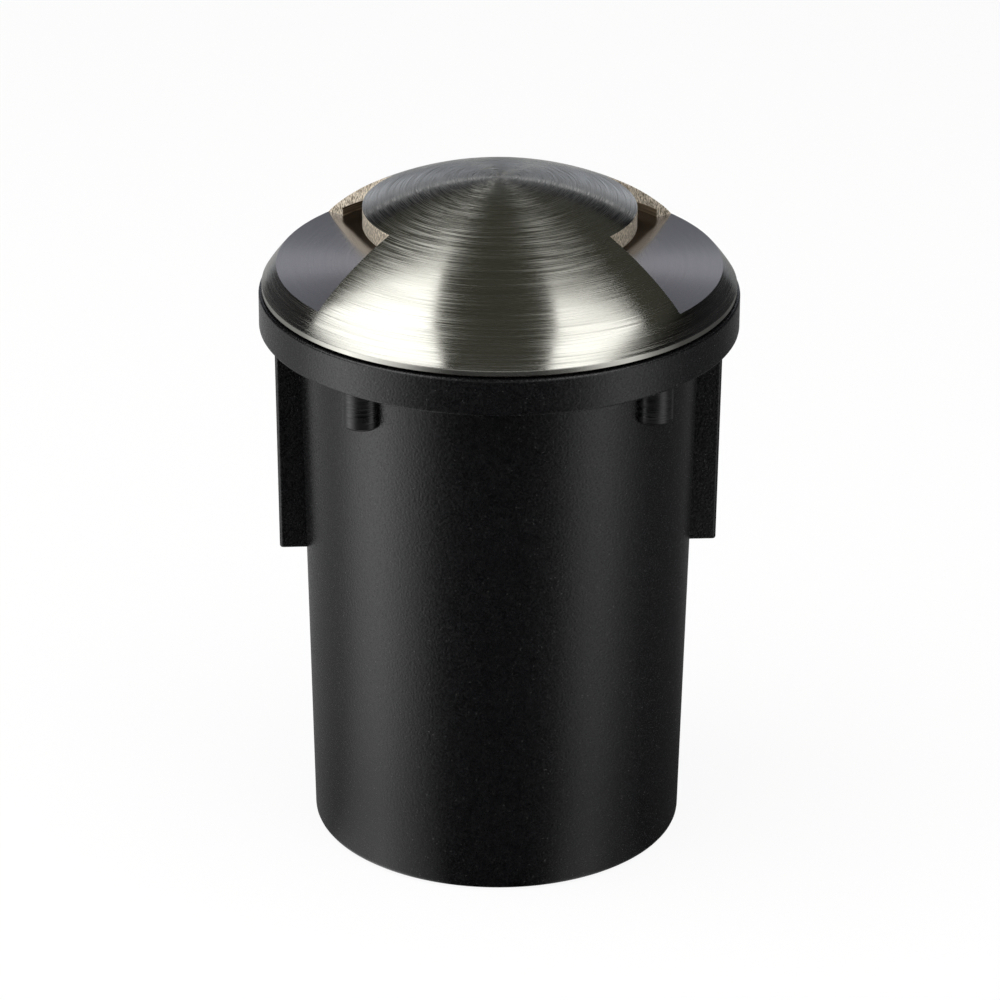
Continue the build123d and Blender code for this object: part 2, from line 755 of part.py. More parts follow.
with BuildPart() as gland_nuts:
    with BuildSketch(Plane.XY.offset(nut_bottom)):
        with Locations(*gland_sites):
            RegularPolygon(gland_across_flats / 2, 6, major_radius=False)
            Circle(gland_top_bore_radius, mode=Mode.SUBTRACT)
    extrude(amount=gland_nut_height)
    with BuildSketch(Plane.XY.offset(nut_bottom + gland_nut_wall)):
        with Locations(*gland_sites):
            Circle(gland_thread_radius + thread_clearance)
    extrude(amount=gland_nut_height - gland_nut_wall, mode=Mode.SUBTRACT)
save(gland_nuts, "gland_nuts")
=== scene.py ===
# %% [markdown]
# # An in-ground light, dressed over its CAD frame
# A walk-over garden light is a black moulded pot that sits in the soil and a turned stainless dome on
# top. The CAD frame already has every piece at its real size. This lesson gives the pieces their
# surfaces: it turns the dome and the pot as fine meshes with small edge radii, gives each material its
# own grain, and lights them as in a studio. Everything is in metres, in the frame's own axes: +Z up,
# front at -Y.

# %% Load the frame
import json
from math import atan2, cos, degrees, pi, radians, sin, sqrt

import bmesh
import bpy
from mathutils import Matrix, Vector


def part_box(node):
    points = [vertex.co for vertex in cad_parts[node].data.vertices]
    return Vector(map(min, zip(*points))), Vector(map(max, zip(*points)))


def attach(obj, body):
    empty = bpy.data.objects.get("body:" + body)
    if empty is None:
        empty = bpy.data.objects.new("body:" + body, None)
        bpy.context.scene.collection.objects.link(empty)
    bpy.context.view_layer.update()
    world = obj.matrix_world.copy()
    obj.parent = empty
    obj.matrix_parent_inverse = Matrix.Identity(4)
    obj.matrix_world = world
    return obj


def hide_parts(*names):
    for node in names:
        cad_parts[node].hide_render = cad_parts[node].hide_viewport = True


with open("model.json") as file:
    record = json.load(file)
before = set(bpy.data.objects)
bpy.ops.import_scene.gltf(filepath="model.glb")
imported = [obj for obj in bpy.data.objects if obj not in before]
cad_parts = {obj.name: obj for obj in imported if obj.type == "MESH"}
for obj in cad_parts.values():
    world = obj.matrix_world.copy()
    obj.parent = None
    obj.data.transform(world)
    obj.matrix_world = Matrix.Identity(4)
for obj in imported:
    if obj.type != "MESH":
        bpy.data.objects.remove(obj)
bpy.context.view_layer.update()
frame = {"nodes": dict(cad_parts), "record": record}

MM = 0.001
nodes = frame["nodes"]

# %% [markdown]
# ## Camera
# The photo was taken with a long lens from a little above. The camera's place, tilt and lens were found
# by matching the ellipses of the rim, the flange and the base, so the render lies over the photo
# without a shift.

# %% Place the camera
camera_place = Vector((0.42, -993.76, 528.44)) * MM
camera_pitch = radians(24.306)
camera_roll = radians(0.3324)
camera_lens_mm, sensor_mm = 168.36, 36

forward = Vector((0, cos(camera_pitch), -sin(camera_pitch)))
level_up = Vector((0, sin(camera_pitch), cos(camera_pitch)))
camera_right = Vector((cos(camera_roll), 0, 0)) + level_up * sin(camera_roll)
camera_up = level_up * cos(camera_roll) - Vector((sin(camera_roll), 0, 0))
camera_turn = Matrix((camera_right, camera_up, -forward)).transposed().to_4x4()

camera = bpy.data.objects.new("camera", bpy.data.cameras.new("camera"))
camera.data.lens = camera_lens_mm
camera.data.sensor_width = sensor_mm
camera.matrix_world = Matrix.Translation(camera_place) @ camera_turn
bpy.context.scene.collection.objects.link(camera)
bpy.context.scene.camera = camera
print("camera:", round(camera_place.length, 3), "m from the base, lens", camera_lens_mm, "mm")

# %% [markdown]
# ## Helpers for materials
# A colour is written as the sRGB hex value that one would pick from a picture, and one function turns
# it to the linear values that the renderer works with. One more adds a node: its settings are
# properties, and each input is a plain value or another node, which is then linked. A new material
# starts with Blender's own Principled shader, and `connect` fills that shader's inputs in the same way.

# %% Colour and node helpers
def to_linear(hex_colour):
    """Linear RGBA of an sRGB hex colour."""
    channels = [int(hex_colour[i:i + 2], 16) / 255 for i in (0, 2, 4)]
    return [c / 12.92 if c <= 0.04045 else ((c + 0.055) / 1.055) ** 2.4 for c in channels] + [1]


def connect(node, inputs):
    """Give inputs plain values, or link them to another node's output."""
    for name, value in inputs.items():
        if isinstance(value, bpy.types.Node):
            value = value.outputs[0]
        if isinstance(value, bpy.types.NodeSocket):
            node.id_data.links.new(value, node.inputs[name])
        else:
            node.inputs[name].default_value = value


def add_node(tree, kind, inputs=None, **settings):
    """Add a node with its settings, and set or link its inputs."""
    node = tree.nodes.new(kind)
    for name, value in settings.items():
        setattr(node, name, value)
    connect(node, inputs or {})
    return node


def new_material(name):
    """A material with its node tree and its shader."""
    material = bpy.data.materials.new(name)
    material.use_nodes = True
    return material, material.node_tree, material.node_tree.nodes["Principled BSDF"]


print("helpers ready")

# %% [markdown]
# ## Turned stainless steel
# The dome is spun on a lathe and finished with an abrasive held against it, so its scratches run in
# rings. Such scratches throw a lamp's image out across themselves, which draws the bright wedges that
# meet at the apex. An anisotropic metal does just that when its tangent runs round the axis and is
# turned a quarter. The rings come from noise in polar coordinates: fine across, long around. Rougher
# rings pick up the lamps where smooth ones stay dark, and that makes the streaks near the apex. Real
# scratches are about 0.02 mm wide; here they are drawn coarser, 0.1 to 0.2 mm wide, so that they still
# show in the render.

# %% Turned stainless steel
def off_axis(tree):
    """The place without its height, and its distance from the axis."""
    point = add_node(tree, "ShaderNodeTexCoord").outputs["Object"]
    flat = add_node(tree, "ShaderNodeVectorMath", {0: point, 1: (1, 1, 0)}, operation="MULTIPLY")
    return flat, add_node(tree, "ShaderNodeVectorMath", {0: flat}, operation="LENGTH").outputs["Value"]


def ring_pattern(tree, pitch_mm, arcs):
    """Noise in polar coordinates: pitch_mm across the rings, about arcs patches per radian around them."""
    flat, radius = off_axis(tree)
    heading = add_node(tree, "ShaderNodeVectorMath", {0: flat}, operation="NORMALIZE")
    around = add_node(tree, "ShaderNodeVectorMath", {0: heading, "Scale": arcs}, operation="SCALE")
    across = add_node(tree, "ShaderNodeMath", {0: radius, 1: 1 / (pitch_mm * MM)}, operation="MULTIPLY")
    upright = add_node(tree, "ShaderNodeCombineXYZ", {"Z": across})
    polar = add_node(tree, "ShaderNodeVectorMath", {0: around, 1: upright}, operation="ADD")
    return add_node(tree, "ShaderNodeTexNoise", {"Vector": polar, "Scale": 1.0, "Detail": 1.0})


turned_steel, tree, surface = new_material("stainless steel, turned and brushed in rings")
streaks = ring_pattern(tree, pitch_mm=0.12, arcs=2.2)
bands = ring_pattern(tree, pitch_mm=3.0, arcs=1.2)
colour = add_node(
    tree, "ShaderNodeMix",
    {"Factor": bands, "A": to_linear("B0AFA7"), "B": to_linear("CDCCC5")}, data_type="RGBA",
)
# The streaks are strong round the apex, where the abrasive turned slowly, and fade towards the rim.
distance = off_axis(tree)[1]
fade = add_node(
    tree, "ShaderNodeMapRange",
    {"Value": distance, "From Min": 26 * MM, "From Max": 42 * MM, "To Min": 0.85, "To Max": 0.35},
)
noise_mean, mean_roughness = 0.5, 0.22
swing = add_node(tree, "ShaderNodeMath", {0: streaks, 1: noise_mean}, operation="SUBTRACT")
fine = add_node(tree, "ShaderNodeMath", {0: swing, 1: fade, 2: mean_roughness}, operation="MULTIPLY_ADD")
# A few deeper scratches are rougher still and stand out as single bright lines.
scratches = ring_pattern(tree, pitch_mm=0.22, arcs=1.3)
deep = add_node(
    tree, "ShaderNodeMapRange", {"Value": scratches, "From Min": 0.57, "From Max": 0.64, "To Max": 0.24}
)
gloss = add_node(tree, "ShaderNodeMath", {0: deep, 1: fade, 2: fine}, operation="MULTIPLY_ADD")
connect(surface, {
    "Base Color": colour.outputs["Result"],
    "Metallic": 1.0,
    "Roughness": gloss,
    "Anisotropic": 0.9,
    "Anisotropic Rotation": 0.25,
    "Tangent": add_node(tree, "ShaderNodeTangent", direction_type="RADIAL", axis="Z"),
    "Normal": add_node(tree, "ShaderNodeBump", {"Height": streaks, "Distance": 0.004 * MM}),
})
print("made:", turned_steel.name)

# %% [markdown]
# ## Ground stainless steel
# The floors of the two windows are faced on the lathe and ground, so they mirror what lies behind the
# light with a fine drag of the grinding. They take a low roughness. The rings are only in colour and
# gloss, because a bump would break the mirror up.

# %% Ground stainless steel
ground_steel, tree, surface = new_material("stainless steel, faced and ground")
facing = ring_pattern(tree, pitch_mm=0.3, arcs=1.2)
colour = add_node(
    tree, "ShaderNodeMix",
    {"Factor": facing, "A": to_linear("A9A8AB"), "B": to_linear("C9C8CB")}, data_type="RGBA",
)
gloss = add_node(tree, "ShaderNodeMapRange", {"Value": facing, "To Min": 0.18, "To Max": 0.28})
connect(surface, {
    "Base Color": colour.outputs["Result"],
    "Metallic": 1.0,
    "Roughness": gloss,
    "Anisotropic": 1.0,
    "Anisotropic Rotation": 0.25,
    "Tangent": add_node(tree, "ShaderNodeTangent", direction_type="RADIAL", axis="Z"),
})
print("made:", ground_steel.name)

# %% [markdown]
# ## Milled stainless steel
# The cut walls of the windows and the cap's edge are milled with the side of a cutter, which leaves
# short upright marks one beside another. They catch the light in turn, so the wall looks hatched. The
# marks are noise that changes slowly with height, so that they stand upright on a wall of any heading.

# %% Milled stainless steel
def drawn_out_noise(tree, width_mm, change):
    """Noise with lumps of width_mm, longer along an axis where the change is below 1."""
    point = add_node(tree, "ShaderNodeTexCoord").outputs["Object"]
    drawn = add_node(tree, "ShaderNodeVectorMath", {0: point, 1: change}, operation="MULTIPLY")
    scale = 1 / (width_mm * MM)
    return add_node(tree, "ShaderNodeTexNoise", {"Vector": drawn, "Scale": scale, "Detail": 1.0})


milled_steel, tree, surface = new_material("stainless steel, milled with upright marks")
marks = drawn_out_noise(tree, width_mm=0.2, change=(1, 1, 0.28))
shade = add_node(tree, "ShaderNodeMapRange", {"Value": marks, "From Min": 0.36, "From Max": 0.6})
colour = add_node(
    tree, "ShaderNodeMix",
    {"Factor": shade, "A": to_linear("6E604E"), "B": to_linear("F2E6D2")}, data_type="RGBA",
)
gloss = add_node(tree, "ShaderNodeMapRange", {"Value": marks, "To Min": 0.3, "To Max": 0.6})
connect(surface, {
    "Base Color": colour.outputs["Result"],
    "Metallic": 0.6,
    "Roughness": gloss,
    "Normal": add_node(tree, "ShaderNodeBump", {"Height": marks, "Distance": 0.06 * MM}),
})
print("made:", milled_steel.name)

# %% [markdown]
# ## Bored stainless steel
# The inside of the dome is bored on the lathe and left as it is, so its wall has coarse rings one above
# another and a brown stain from the heat of the cut. The rings are noise that hardly changes sideways,
# so they run round any wall and need no unwrapping.

# %% Bored stainless steel
bored_steel, tree, surface = new_material("stainless steel, bored and stained by heat")
bore_rings = drawn_out_noise(tree, width_mm=0.4, change=(0.02, 0.02, 1))
shade = add_node(tree, "ShaderNodeMapRange", {"Value": bore_rings, "From Min": 0.3, "From Max": 0.7})
colour = add_node(
    tree, "ShaderNodeMix",
    {"Factor": shade, "A": to_linear("75614C"), "B": to_linear("E2CBA9")}, data_type="RGBA",
)
connect(surface, {
    "Base Color": colour.outputs["Result"],
    "Metallic": 0.5,
    "Roughness": 0.45,
    "Normal": add_node(tree, "ShaderNodeBump", {"Height": bore_rings, "Distance": 0.05 * MM}),
})
print("made:", bored_steel.name)

# %% [markdown]
# ## Surfaces with a random grain
# Most other surfaces have no direction: a casting skin, a moulded grain, a plating. One function makes
# them all. The same noise drives gloss and height, as on a real surface where the lumps are also the
# dull spots, and a broader cloud drives the colour. Noise rarely leaves the range from 0.3 to 0.7, so
# that range is stretched to the two ends that each surface is given.

# %% Grained surfaces
def grained_material(name, dark, light, grain_mm, roughness, relief_mm, more=None):
    """A material with lumps of grain_mm. More inputs of the shader may be given."""
    material, tree, surface = new_material(name)
    point = add_node(tree, "ShaderNodeTexCoord").outputs["Object"]
    lumps = add_node(
        tree, "ShaderNodeTexNoise", {"Vector": point, "Scale": 1 / (grain_mm * MM), "Detail": 3.0}
    )
    cloud = add_node(
        tree, "ShaderNodeTexNoise",
        {"Vector": point, "Scale": 1 / (4 * grain_mm * MM), "Detail": 4.0, "Roughness": 0.75},
    )
    shade = add_node(tree, "ShaderNodeMapRange", {"Value": cloud, "From Min": 0.3, "From Max": 0.7})
    colour = add_node(
        tree, "ShaderNodeMix",
        {"Factor": shade, "A": to_linear(dark), "B": to_linear(light)}, data_type="RGBA",
    )
    gloss = add_node(
        tree, "ShaderNodeMapRange",
        {"Value": lumps, "From Min": 0.3, "From Max": 0.7, "To Min": roughness[0], "To Max": roughness[1]},
    )
    height = add_node(tree, "ShaderNodeBump", {"Height": lumps, "Distance": relief_mm * MM})
    connect(surface, {"Base Color": colour.outputs["Result"], "Roughness": gloss, "Normal": height})
    connect(surface, more or {})
    return material


# The underside of the dome and the chamfer of its rim keep their casting skin, coloured dark and
# sandy.
cast_steel = grained_material(
    "stainless steel, as cast", "1C1A18", "38342F", 0.3, (0.5, 0.75), 0.05, {"Metallic": 0.3}
)
# The pot's tool has a spark-eroded grain, which makes broad soft highlights; the tiny sparks in them are
# painted glints. A real grain has lumps of about 0.1 mm; here they are drawn coarser, so that they show in
# the render.
pot_plastic = grained_material(
    "polycarbonate, black, moulded with a fine grain", "08080A", "111113", 0.55, (0.14, 0.36), 0.08,
    {"IOR": 1.58, "Specular IOR Level": 0.4},
)
# Sparse paler spots about 0.2 mm wide are mixed into the base colour as painted glints on the grain.
tree = pot_plastic.node_tree
surface = tree.nodes["Principled BSDF"]
point = add_node(tree, "ShaderNodeTexCoord").outputs["Object"]
glint_spacing = 0.3 * MM
glint_noise = add_node(tree, "ShaderNodeTexNoise", {"Vector": point, "Scale": 1 / glint_spacing, "Detail": 0.0})
painted_glints = add_node(tree, "ShaderNodeMapRange", {"Value": glint_noise, "From Min": 0.78, "From Max": 0.86})
plain = surface.inputs["Base Color"].links[0].from_socket
colour = add_node(
    tree, "ShaderNodeMix", {"Factor": painted_glints, "A": plain, "B": to_linear("4E4E4C")}, data_type="RGBA"
)
connect(surface, {"Base Color": colour.outputs["Result"]})
print("made:", cast_steel.name, "and", pot_plastic.name)

# %% [markdown]
# ## Moulded bosses
# The screw bosses were moulded on a turned insert of the tool, so they are smoother than the pot and
# carry faint rings one above another. As in the bore, the rings are noise that hardly changes sideways.

# %% Boss plastic
boss_plastic, tree, surface = new_material("polycarbonate, black, moulded on a turned insert")
boss_rings = drawn_out_noise(tree, width_mm=0.36, change=(0.04, 0.04, 1))
colour = add_node(
    tree, "ShaderNodeMix",
    {"Factor": boss_rings, "A": to_linear("040405"), "B": to_linear("18181A")}, data_type="RGBA",
)
gloss = add_node(tree, "ShaderNodeMapRange", {"Value": boss_rings, "To Min": 0.08, "To Max": 0.5})
connect(surface, {
    "Base Color": colour.outputs["Result"],
    "Roughness": gloss,
    "IOR": 1.58,
    "Normal": add_node(tree, "ShaderNodeBump", {"Height": boss_rings, "Distance": 0.13 * MM}),
})
print("made:", boss_plastic.name)

# %% [markdown]
# ## Materials of the inner pieces
# The pieces inside the pot and below it show when the cover lifts off. Each record slot gets a material
# that is named for what the piece is made of and how. Rubber is dull and slightly dusty, zinc plating
# is bright with a yellowish cloud, lacquered aluminium has a fine sandy skin, unglazed steatite is dry
# and chalky.

# %% Materials by slot
METAL = {"Metallic": 1.0}
slot_looks = {
    # Rubber is matt, with talc left in its pores.
    "black_rubber": ("rubber, black, moulded", "0C0C0C", "1E1E1F", 0.3, (0.55, 0.8), 0.015),
    "silicone_rubber": (
        "silicone rubber, grey, cut from sheet", "A9A9A4", "C2C2BC", 0.4, (0.4, 0.6), 0.01, {"IOR": 1.41},
    ),
    # Cold-headed screws keep bright drawing marks.
    "stainless_screws": (
        "stainless steel, cold headed", "BDBBB8", "DAD8D5", 0.25, (0.16, 0.34), 0.004, METAL,
    ),
    "plated_steel": ("steel, zinc plated", "B9B49E", "D6D4CC", 0.6, (0.22, 0.42), 0.006, METAL),
    "cast_aluminium": (
        "aluminium, die cast and lacquered", "C4C5C7", "DDDEDF", 0.5, (0.3, 0.48), 0.02, METAL,
    ),
    "white_plastic": ("polyamide, white, moulded", "DAD8D0", "E8E6DF", 0.4, (0.35, 0.5), 0.01),
    "nickel_brass": ("brass, nickel plated", "CFC9B8", "E2DDD0", 0.3, (0.14, 0.28), 0.003, METAL),
    "white_board": ("circuit board, white solder mask", "E4E4DF", "F0F0EC", 0.5, (0.3, 0.45), 0.006),
    "steatite": ("steatite, pressed and fired", "D9D2C1", "EAE4D6", 0.35, (0.6, 0.8), 0.02),
    "brass": ("brass, stamped", "B98F45", "DDB873", 0.4, (0.2, 0.38), 0.006, METAL),
    # The sleeves are braided glass yarn soaked in silicone.
    "brown_sleeve": ("glass yarn sleeve, brown", "4A2A18", "6E4025", 0.35, (0.45, 0.65), 0.04),
    "blue_sleeve": ("glass yarn sleeve, blue", "16356B", "2A5296", 0.35, (0.45, 0.65), 0.04),
    "gland_nylon": ("nylon, black, moulded", "101011", "212123", 0.5, (0.32, 0.5), 0.015),
    # Clear pieces: thick float glass is faintly green, and the lamp's front is a frosted acrylic.
    "toughened_glass": (
        "float glass, toughened", "EAF5EF", "F4FBF7", 2.0, (0.0, 0.03), 0.0005,
        {"Transmission Weight": 1.0, "IOR": 1.52},
    ),
    "lamp_lens_plastic": (
        "acrylic, clear, moulded", "F2F2EE", "FBFBF8", 0.6, (0.06, 0.16), 0.004,
        {"Transmission Weight": 1.0, "IOR": 1.49},
    ),
}
slot_materials = {slot: grained_material(*look) for slot, look in slot_looks.items()}
slot_materials |= {"black_plastic": pot_plastic, "brushed_stainless": turned_steel}
print("made:", len(slot_materials), "slot materials")

# %% [markdown]
# ## Dressing the CAD nodes
# A node whose CAD shape is already right only needs its material. The record says which slot each node
# has.

# %% Give each node its material
slot_of = {subpart["node"]: subpart["material_slot"] for subpart in frame["record"]["subparts"]}
for node, slot in slot_of.items():
    for material_slot in nodes[node].material_slots:
        material_slot.material = slot_materials[slot]
print("dressed:", len(slot_of), "nodes")

# %% [markdown]
# ## Turning a profile
# Both visible shells are round, so they are turned as on a lathe: a list of (radius, height) points in
# millimetres makes one circle of vertices each, and faces fill the bands between them. One degree per
# step keeps the outline smooth. Blender's Screw modifier could turn a profile too, but here a band may
# cover only some of the steps, which leaves the windows of the dome open.

# %% Lathe helpers
STEPS = 360


def ring(bm, rings, point):
    """The vertices of one turned circle, made once for each profile point."""
    key = (round(point[0], 4), round(point[1], 4))
    if key not in rings:
        radius, height = point
        if radius == 0:
            rings[key] = [bm.verts.new((0, 0, height * MM))] * STEPS
        else:
            turns = [2 * pi * i / STEPS for i in range(STEPS)]
            places = [(radius * MM * cos(t), radius * MM * sin(t), height * MM) for t in turns]
            rings[key] = [bm.verts.new(place) for place in places]
    return rings[key]


def turn_band(bm, rings, points, finish=0, steps=range(STEPS)):
    """Faces between the circles of neighbouring profile points, over the given steps."""
    for inner, outer in zip(points, points[1:]):
        first, second = ring(bm, rings, inner), ring(bm, rings, outer)
        for i in steps:
            j = (i + 1) % STEPS
            corners = list(dict.fromkeys([first[i], first[j], second[j], second[i]]))
            bm.faces.new(corners).material_index = finish


def arc_points(centre, radius, start, end, count):
    """Profile points on the upper side of an arc, from one distance off the axis to another."""
    places = [start + (end - start) * i / count for i in range(count + 1)]
    return [(r, centre[1] + sqrt(radius**2 - (r - centre[0]) ** 2)) for r in places]


def corner_points(centre, radius, start_deg, end_deg, count=4):
    """Profile points round a small edge radius."""
    turns = [radians(start_deg + (end_deg - start_deg) * i / count) for i in range(count + 1)]
    return [(centre[0] + radius * cos(t), centre[1] + radius * sin(t)) for t in turns]


def polar_places(radius, count, start_deg):
    """Evenly spaced (x, y) places on a circle."""
    turns = [radians(start_deg + 360 * i / count) for i in range(count)]
    return [(radius * cos(t), radius * sin(t)) for t in turns]


print("lathe helpers ready,", STEPS, "steps per turn")

# %% [markdown]
# ## Pieces from a mesh
# A finished bmesh becomes an object with its faces turned outward. Round details off the axis, such as
# bosses and holes, are first made as rods and then joined or cut by a boolean, whose result is kept as
# the new mesh. Cuts can leave two corners on one spot, so a mend merges them and the mesh stays closed.

# %% Piece helpers
def new_piece(name, bm, *materials):
    """Turn a bmesh into an object with outward faces and its materials."""
    bmesh.ops.recalc_face_normals(bm, faces=bm.faces)
    mesh = bpy.data.meshes.new(name)
    bm.to_mesh(mesh)
    bm.free()
    for material in materials:
        mesh.materials.append(material)
    piece = bpy.data.objects.new(name, mesh)
    bpy.context.scene.collection.objects.link(piece)
    return piece


def bake_modifiers(piece):
    """Replace a piece's mesh by what its modifiers make of it."""
    bpy.context.view_layer.update()
    made = bpy.data.meshes.new_from_object(piece.evaluated_get(bpy.context.evaluated_depsgraph_get()))
    piece.modifiers.clear()
    piece.data = made


def carve(piece, tool, operation):
    """Join a tool's shape to a piece, or cut it away, and throw the tool away."""
    modifier = piece.modifiers.new("carve", "BOOLEAN")
    modifier.operation = operation
    modifier.solver = "EXACT"
    modifier.material_mode = "TRANSFER"
    modifier.object = tool
    bake_modifiers(piece)
    bpy.data.objects.remove(tool)


def mend(piece):
    """Merge corners that a cut or a bevel left on one spot, and drop faces without area."""
    spot = 0.005 * MM
    bm = bmesh.new()
    bm.from_mesh(piece.data)
    bmesh.ops.remove_doubles(bm, verts=bm.verts, dist=spot)
    bmesh.ops.dissolve_degenerate(bm, edges=bm.edges, dist=spot)
    bm.to_mesh(piece.data)
    bm.free()


def smooth_by_angle(piece, angle_deg):
    """Smooth shading that breaks at edges sharper than an angle."""
    piece.data.shade_smooth()
    piece.data.set_sharp_from_angle(angle=radians(angle_deg))


def stack_loops(bm, loops):
    """Faces between loops of vertices one above another, closed at both ends."""
    for lower, upper in zip(loops, loops[1:]):
        for i in range(len(lower)):
            j = (i + 1) % len(lower)
            bm.faces.new((lower[i], lower[j], upper[j], upper[i]))
    bm.faces.new(loops[0][::-1])
    bm.faces.new(loops[-1])


def add_rods(bm, places, profile, sides=48):
    """Upright rods at (x, y) places, from a profile of (radius, height). A radius may follow the angle."""
    turns = [2 * pi * i / sides for i in range(sides)]
    for x, y in places:
        loops = []
        for radius, height in profile:
            reach = [radius(t) if callable(radius) else radius for t in turns]
            corners = [(x + r * cos(t), y + r * sin(t), height) for r, t in zip(reach, turns)]
            loops.append([bm.verts.new(Vector(corner) * MM) for corner in corners])
        stack_loops(bm, loops)


print("piece helpers ready")

# %% [markdown]
# ## The domed cover
# The cover is a hollow ball segment whose shoulder curves tighter down to a thin rim. On both sides a
# wedge of 76 degrees is cut away down to a flat floor, and only the round cap in the middle stays, so
# the light leaves sideways below it. It could be cut with booleans, but turned bands that skip the
# window steps give cleaner faces: the four cut walls are then single flat faces between the bands.

# %% Sizes of the cover
cover_low, cover_high = (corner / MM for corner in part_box("dome_cover"))
rim_radius = cover_high.x
dome_apex = cover_high.z
post_bottom = cover_low.z
cover_height = 26.4
cover_underside = dome_apex - cover_height
dome_ball = 74.0
dome_centre = Vector((0, dome_apex - dome_ball))
rim_edge_height = 1.4
rim_chamfer = 0.3
floor_thickness = 5.9
window_floor = cover_underside + floor_thickness
window_half_angle = 38
cap_radius = 31.2
cavity_radius = 46.5
roof_ball = 92.0
roof_thickness = 5.9
roof_centre = Vector((0, dome_apex - roof_thickness - roof_ball))
light_opening = 28.0
seal_seat_depth = 2.5
seal_seat = window_floor - seal_seat_depth
glass_recess = 36.5

# The shoulder's arc leaves the ball without a crease and ends on the rim.
shoulder_radius = 48.0
shoulder_start = Vector(arc_points(dome_centre, dome_ball, shoulder_radius, shoulder_radius, 1)[0])
shoulder_end = Vector((rim_radius, cover_underside + rim_edge_height))
shoulder_normal = (shoulder_start - dome_centre) / dome_ball
shoulder_chord = shoulder_start - shoulder_end
shoulder_ball = shoulder_chord.length_squared / (2 * shoulder_normal.dot(shoulder_chord))
shoulder_centre = shoulder_start - shoulder_ball * shoulder_normal
floor_edge = shoulder_centre.x + sqrt(shoulder_ball**2 - (window_floor - shoulder_centre.y) ** 2)

# A small radius, tangent to the shoulder's arc, leads over to the upright rim.
rim_round = 0.6
round_reach = rim_radius - rim_round - shoulder_centre.x
round_rise = sqrt((shoulder_ball - rim_round) ** 2 - round_reach**2)
round_centre = Vector((rim_radius - rim_round, shoulder_centre.y + round_rise))
round_start = (round_centre - shoulder_centre).normalized()
round_start_deg = degrees(atan2(round_start.y, round_start.x))
print("cover: rim", round(2 * rim_radius, 1), "mm across, window floor to", round(floor_edge, 2), "mm")

# %% Turn the cover
TURNED, GROUND, MILLED, CAST, BORED = range(5)
window_steps = [i for i in range(STEPS) if abs((i + 0.5 + 90) % 180 - 90) < window_half_angle]
wedge_steps = [i for i in range(STEPS) if i not in window_steps]
wall_steps = [window_half_angle, 180 - window_half_angle, 180 + window_half_angle, 360 - window_half_angle]

cap_line = arc_points(dome_centre, dome_ball, 0, cap_radius, 16)
flank_line = arc_points(dome_centre, dome_ball, cap_radius, shoulder_radius, 12)
flank_line += arc_points(shoulder_centre, shoulder_ball, shoulder_radius, floor_edge, 5)[1:]
shoulder_foot = shoulder_centre.x + shoulder_ball * round_start.x
foot_line = arc_points(shoulder_centre, shoulder_ball, floor_edge, shoulder_foot, 6)
foot_line += corner_points(round_centre, rim_round, round_start_deg, 0)[1:]
rim_line = [(rim_radius, cover_underside + rim_chamfer), (rim_radius - rim_chamfer, cover_underside)]
foot_line += rim_line[:1]
roof_inner = arc_points(roof_centre, roof_ball, 0, cap_radius, 8)
roof_outer = arc_points(roof_centre, roof_ball, cap_radius, cavity_radius, 8)
under_line = [rim_line[-1], (glass_recess, cover_underside), (glass_recess, seal_seat)]
under_line += [(light_opening, seal_seat), (light_opening, window_floor)]
cavity_foot = (cavity_radius, window_floor)

bm, rings = bmesh.new(), {}
turn_band(bm, rings, cap_line, TURNED)
turn_band(bm, rings, flank_line, TURNED, wedge_steps)
turn_band(bm, rings, foot_line, TURNED)
turn_band(bm, rings, rim_line, CAST)
turn_band(bm, rings, under_line, CAST)
turn_band(bm, rings, [under_line[-1], cavity_foot], GROUND)
turn_band(bm, rings, [cavity_foot, foot_line[0]], GROUND, window_steps)
turn_band(bm, rings, [cavity_foot, roof_outer[-1]], BORED, wedge_steps)
turn_band(bm, rings, roof_outer, BORED, wedge_steps)
turn_band(bm, rings, roof_inner, BORED)
turn_band(bm, rings, [roof_outer[0], flank_line[0]], MILLED, window_steps)
wall_line = flank_line + [cavity_foot] + roof_outer[::-1]
for step in wall_steps:
    bm.faces.new([ring(bm, rings, point)[step] for point in wall_line]).material_index = MILLED
same_place = 1e-7
bmesh.ops.remove_doubles(bm, verts=bm.verts, dist=same_place)
dome = new_piece("turned_dome", bm, turned_steel, ground_steel, milled_steel, cast_steel, bored_steel)
print("dome:", len(dome.data.polygons), "faces")

# %% [markdown]
# ## Posts, holes and edges of the cover
# Four posts under the cover carry the ring that holds the glass, and four blind holes take the screws
# that come up through the pot. Then a narrow bevel runs along every edge, because a real edge is never
# quite sharp and shows as a thin bright line.

# %% Posts, holes and edges
# The pot is turned a little against the cover's windows, and the bosses and fins with it.
pot_turn = 3.6
boss_circle, post_circle = 46.2, 39.2
boss_places = polar_places(boss_circle, 4, 45 + pot_turn)
post_places = polar_places(post_circle, 4, 0)
post_radius, post_hole, post_hole_depth = 2.4, 1.3, 4.05
screw_hole, screw_hole_depth = 1.55, 4.2
overlap = 0.5
edge_width, edge_angle = 0.16, 25

bm = bmesh.new()
add_rods(bm, post_places, [(post_radius, post_bottom), (post_radius, cover_underside + overlap)])
carve(dome, new_piece("posts", bm, cast_steel), "UNION")
bm = bmesh.new()
add_rods(bm, post_places, [(post_hole, post_bottom - overlap), (post_hole, post_bottom + post_hole_depth)])
screw_hole_top = cover_underside + screw_hole_depth
add_rods(bm, boss_places, [(screw_hole, cover_underside - overlap), (screw_hole, screw_hole_top)])
carve(dome, new_piece("cover_holes", bm, cast_steel), "DIFFERENCE")

